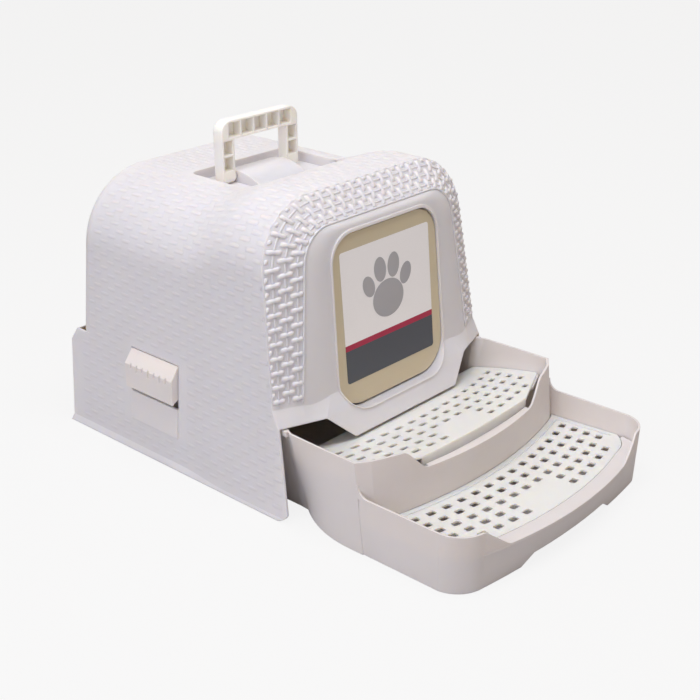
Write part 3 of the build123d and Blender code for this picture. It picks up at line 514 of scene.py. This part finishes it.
def card_stock(name, paper, band_colour, stripe):
    """Coated card with a dark band at its foot and a stripe over it."""
    material = bpy.data.materials.new(name)
    material.use_nodes = True
    tree = material.node_tree
    shader = tree.nodes["Principled BSDF"]
    where = tree.nodes.new("ShaderNodeTexCoord")
    parted = tree.nodes.new("ShaderNodeSeparateXYZ")
    tree.links.new(where.outputs["Object"], parted.inputs[0])
    fibres = tree.nodes.new("ShaderNodeTexNoise")
    fibres.inputs["Scale"].default_value = 500.0
    tree.links.new(where.outputs["Object"], fibres.inputs["Vector"])
    last = tree.nodes.new("ShaderNodeMix")
    last.data_type = "RGBA"
    last.inputs["A"].default_value = hue(*paper)
    last.inputs["B"].default_value = hue(*[v - 6 for v in paper])
    tree.links.new(fibres.outputs["Fac"], last.inputs["Factor"])
    for colour, edge in ((stripe, stripe_top), (band_colour, band_top)):
        below = tree.nodes.new("ShaderNodeMath")
        below.operation = "LESS_THAN"
        below.inputs[1].default_value = edge
        tree.links.new(parted.outputs["Z"], below.inputs[0])
        layer = tree.nodes.new("ShaderNodeMix")
        layer.data_type = "RGBA"
        layer.inputs["B"].default_value = hue(*colour)
        tree.links.new(below.outputs[0], layer.inputs["Factor"])
        tree.links.new(last.outputs["Result"], layer.inputs["A"])
        last = layer
    tree.links.new(last.outputs["Result"], shader.inputs["Base Color"])
    shader.inputs["Roughness"].default_value = 0.35
    bump = tree.nodes.new("ShaderNodeBump")
    bump.inputs["Strength"].default_value = 0.1
    bump.inputs["Distance"].default_value = 0.0001
    tree.links.new(fibres.outputs["Fac"], bump.inputs["Height"])
    tree.links.new(bump.outputs[0], shader.inputs["Normal"])
    return material


dress("door_card", card_stock("printed_card", (248, 248, 250), (72, 76, 84), (170, 30, 68)))

# ---- Paw print on the card
# A generic motif printed on the card in grey ink: one pad and four toes. It lies a little
# in front of the card's face.
paw = bmesh.new()
card_setback, ink = 0.0011, 0.00012
card_face = panel_y + card_setback - ink
for x, z, width, height, lean in (
    (0.0, 0.238, 0.030, 0.025, 0.0),
    (-0.036, 0.262, 0.0105, 0.015, 0.45),
    (-0.013, 0.279, 0.0115, 0.0165, 0.12),
    (0.013, 0.279, 0.0115, 0.0165, -0.12),
    (0.036, 0.262, 0.0105, 0.015, -0.45),
):
    made = bmesh.ops.create_circle(paw, cap_ends=True, segments=40, radius=1.0)["verts"]
    for vert in made:
        u, v = vert.co.x * width, vert.co.y * height
        spot_x = x + u * cos(lean) - v * sin(lean)
        spot_z = z + u * sin(lean) + v * cos(lean)
        vert.co = (spot_x, card_face + spot_z * tan(panel_lean), spot_z)
for face in paw.faces:
    if face.normal.y > 0:
        face.normal_flip()
grey_ink = moulded("grey_ink", (176, 176, 180), (168, 168, 172), 0.4, 0.05)
finished("card_paw", paw, grey_ink, "door")

# ---- Carry handle
# A U of ivory polypropylene with a row of open pockets. Its two legs turn on stub pins in
# the well, and it folds forward into it.
handle_ivory = moulded("handle_ivory", (250, 248, 241), (248, 245, 237), 0.38, 0.2)
dress("carry_handle", handle_ivory)

# ---- Latches
# A grip lever in each side wall, of the hood's white polypropylene, polished by fingers. It
# turns on stub pins, and its catch holds the drawer's rim.
latch_white = moulded("latch_white", (238, 228, 224), (234, 224, 220), 0.34, 0.15)
dress("latch_right", latch_white)
dress("latch_left", latch_white)

# ---- Drawer
# Warm white polypropylene: the litter tray and the two steps in one moulding. It lies on
# the floor and slides forward out of the hood.
drawer_white = moulded("drawer_white", (222, 217, 217), (218, 213, 212), 0.4, 0.2, through=0.25)
dress("drawer_tray", drawer_white)

# ---- Step grids
# Slotted plates in the same plastic, a little yellower, and lighter than the drawer by
# painted light from the lamp above. They rest loose on ledges in the drawer and lift out.
# Painted light: the plates' colour is brighter than the drawer's to stand in for the top lamp's light
# on them.
grid_white_painted_light = moulded("grid_white_painted_light", (243, 238, 230), (240, 235, 226), 0.4, 0.2, through=0.7)
dress("upper_step_grid", grid_white_painted_light)
dress("lower_step_grid", grid_white_painted_light)

# ---- Rib on the lower grid
# A low rib moulded on the plate, along its back and down its sides, which keeps litter off
# its edges.
rib_middle, rib_bow, rib_half, rib_front, rib_radius = -0.3825, 0.80, 0.178, -0.440, 0.0011
rib_corner = ((rib_half, rib_middle + rib_bow * rib_half**2), (0.1875, -0.3535), (0.1885, -0.366))
plate_z, plate_rise, plate_y = 0.0396, 0.048, -0.3385  # the plate's height near its rear edge
half_path, back_steps, corner_steps = [], 40, 8
for step in range(back_steps + 1):
    x = rib_half * step / back_steps
    half_path.append((x, rib_middle + rib_bow * x**2))
for step in range(1, corner_steps + 1):
    t = step / corner_steps
    weights = ((1 - t) ** 2, 2 * t * (1 - t), t * t)
    half_path.append([sum(w * c for w, c in zip(weights, run)) for run in zip(*rib_corner)])
half_path.append((rib_corner[2][0], rib_front))
whole_path = [(-x, y) for x, y in reversed(half_path[1:])] + half_path
rib_points = [Vector((x, y, plate_z + plate_rise * (plate_y - y))) for x, y in whole_path]
rib = swept(rib_points, rib_radius)
finished("grid_rib", rib, grid_white_painted_light, "lower_grid", outward=True)
